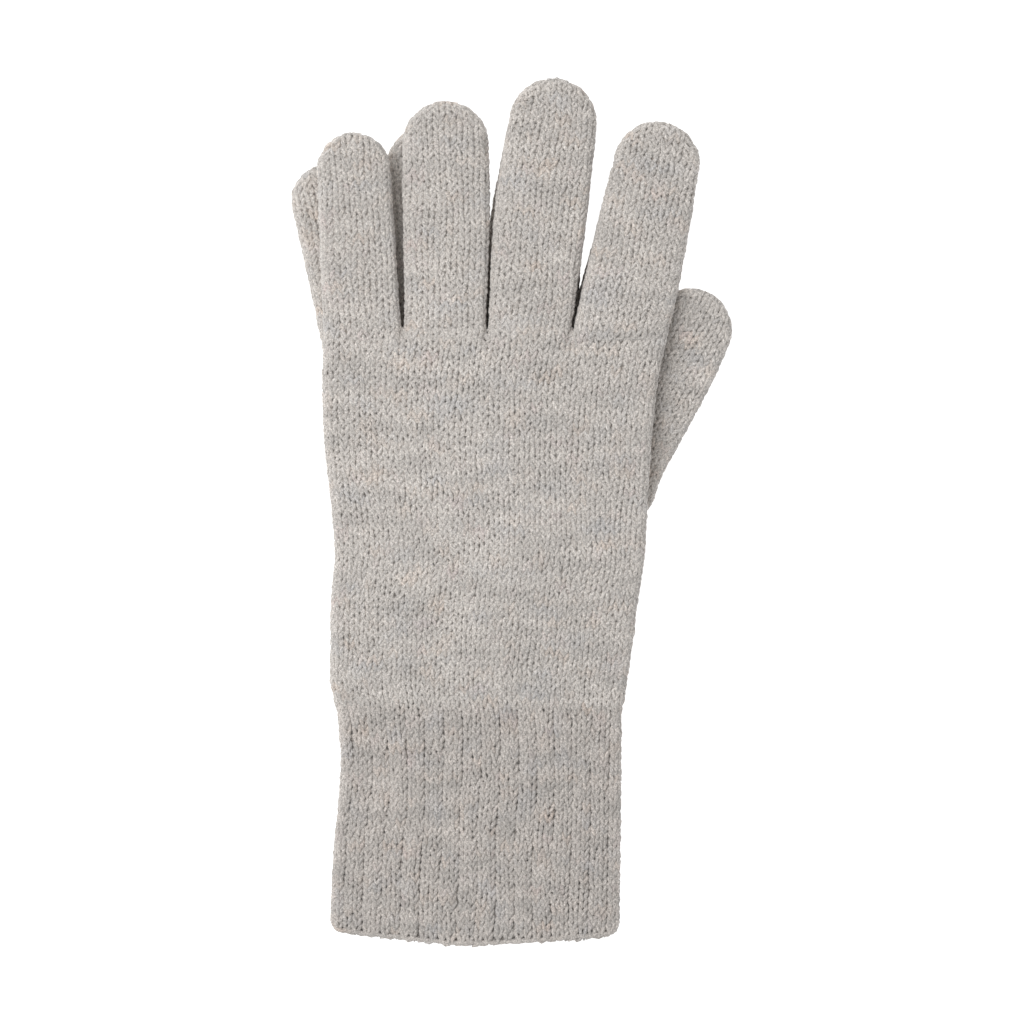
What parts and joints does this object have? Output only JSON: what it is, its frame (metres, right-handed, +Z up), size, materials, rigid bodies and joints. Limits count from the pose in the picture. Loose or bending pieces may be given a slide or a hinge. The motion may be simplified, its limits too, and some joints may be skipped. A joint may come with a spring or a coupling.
{
  "type": "pair of knitted gloves",
  "caption": "Pair of plain grey knitted wool gloves laid flat, palm to palm, with five separate fingers and deep ribbed cuffs.",
  "frame": {"origin": "bottom centre of the pair's bounding box, on the surface the pair lies on", "axes": "+Y from the cuffs to the fingertips, +X to the thumbs' side, +Z up through both gloves"},
  "size_m": [0.1272, 0.2506, 0.0264],
  "materials": {
    "wool_knit": "soft heathered stocking stitch",
    "wool_rib": "soft heathered rib",
    "wool_edge": "soft heathered cast-on edge"
  },
  "bodies": {
    "right_hand": {"right_hand": "wool_knit", "right_cuff": "wool_rib", "right_cuff_hem": "wool_edge", "right_thumb_gusset": "wool_knit", "right_crotch_little_ring": "wool_knit", "right_crotch_ring_middle": "wool_knit", "right_crotch_middle_index": "wool_knit"},
    "right_thumb": {"right_thumb": "wool_knit"},
    "left_hand": {"left_hand": "wool_knit", "left_thumb_gusset": "wool_knit", "left_crotch_little_ring": "wool_knit", "left_crotch_ring_middle": "wool_knit", "left_crotch_middle_index": "wool_knit"},
    "left_cuff": {"left_cuff": "wool_rib", "left_cuff_hem": "wool_edge"},
    "left_thumb": {"left_thumb": "wool_knit"},
    "right_little_finger": {"right_little_finger": "wool_knit"},
    "right_ring_finger": {"right_ring_finger": "wool_knit"},
    "right_middle_finger": {"right_middle_finger": "wool_knit"},
    "right_index_finger": {"right_index_finger": "wool_knit"},
    "left_little_finger": {"left_little_finger": "wool_knit"},
    "left_ring_finger": {"left_ring_finger": "wool_knit"},
    "left_middle_finger": {"left_middle_finger": "wool_knit"},
    "left_index_finger": {"left_index_finger": "wool_knit"}
  },
  "joints": [
    {"name": "gloves_apart", "type": "slide", "parent": "right_hand", "child": "left_hand", "axis": [0, 0, 1], "range_m": [0, 0.12]},
    {"name": "left_little_fold", "type": "hinge", "parent": "left_hand", "child": "left_little_finger", "pos_m": [-0.04312, 0.05189, 0.01809], "axis": [1, 0, 0], "range_deg": [0, 70]},
    {"name": "left_ring_fold", "type": "hinge", "parent": "left_hand", "child": "left_ring_finger", "pos_m": [-0.01908, 0.05189, 0.02383], "axis": [1, 0, 0], "range_deg": [0, 70]},
    {"name": "left_middle_fold", "type": "hinge", "parent": "left_hand", "child": "left_middle_finger", "pos_m": [0.00532, 0.05189, 0.0253], "axis": [1, 0, 0], "range_deg": [0, 70]},
    {"name": "left_index_fold", "type": "hinge", "parent": "left_hand", "child": "left_index_finger", "pos_m": [0.03143, 0.05189, 0.0266], "axis": [1, 0, 0], "range_deg": [0, 70]},
    {"name": "left_thumb_swing", "type": "hinge", "parent": "left_hand", "child": "left_thumb", "pos_m": [0.03925, 0.00594, 0.0153], "axis": [0, 0, -1], "range_deg": [0, 35]},
    {"name": "left_cuff_fold", "type": "hinge", "parent": "left_hand", "child": "left_cuff", "pos_m": [-0.00978, -0.05601, 0.0147], "axis": [-1, 0, 0], "range_deg": [0, 60]},
    {"name": "right_little_splay", "type": "hinge", "parent": "right_hand", "child": "right_little_finger", "pos_m": [-0.05418, 0.04349, 0.0036], "axis": [0, 0, 1], "range_deg": [0, 15]},
    {"name": "right_ring_splay", "type": "hinge", "parent": "right_hand", "child": "right_ring_finger", "pos_m": [-0.03097, 0.04349, 0.0036], "axis": [0, 0, 1], "range_deg": [0, 4]},
    {"name": "right_middle_splay", "type": "hinge", "parent": "right_hand", "child": "right_middle_finger", "pos_m": [0.01723, 0.04349, 0.0036], "axis": [0, 0, -1], "range_deg": [0, 4]},
    {"name": "right_index_splay", "type": "hinge", "parent": "right_hand", "child": "right_index_finger", "pos_m": [0.04453, 0.04349, 0.0036], "axis": [0, 0, -1], "range_deg": [0, 15]},
    {"name": "right_thumb_swing", "type": "hinge", "parent": "right_hand", "child": "right_thumb", "pos_m": [0.03768, 0.00503, 0.01], "axis": [0, 0, -1], "range_deg": [0, 40]}
  ]
}
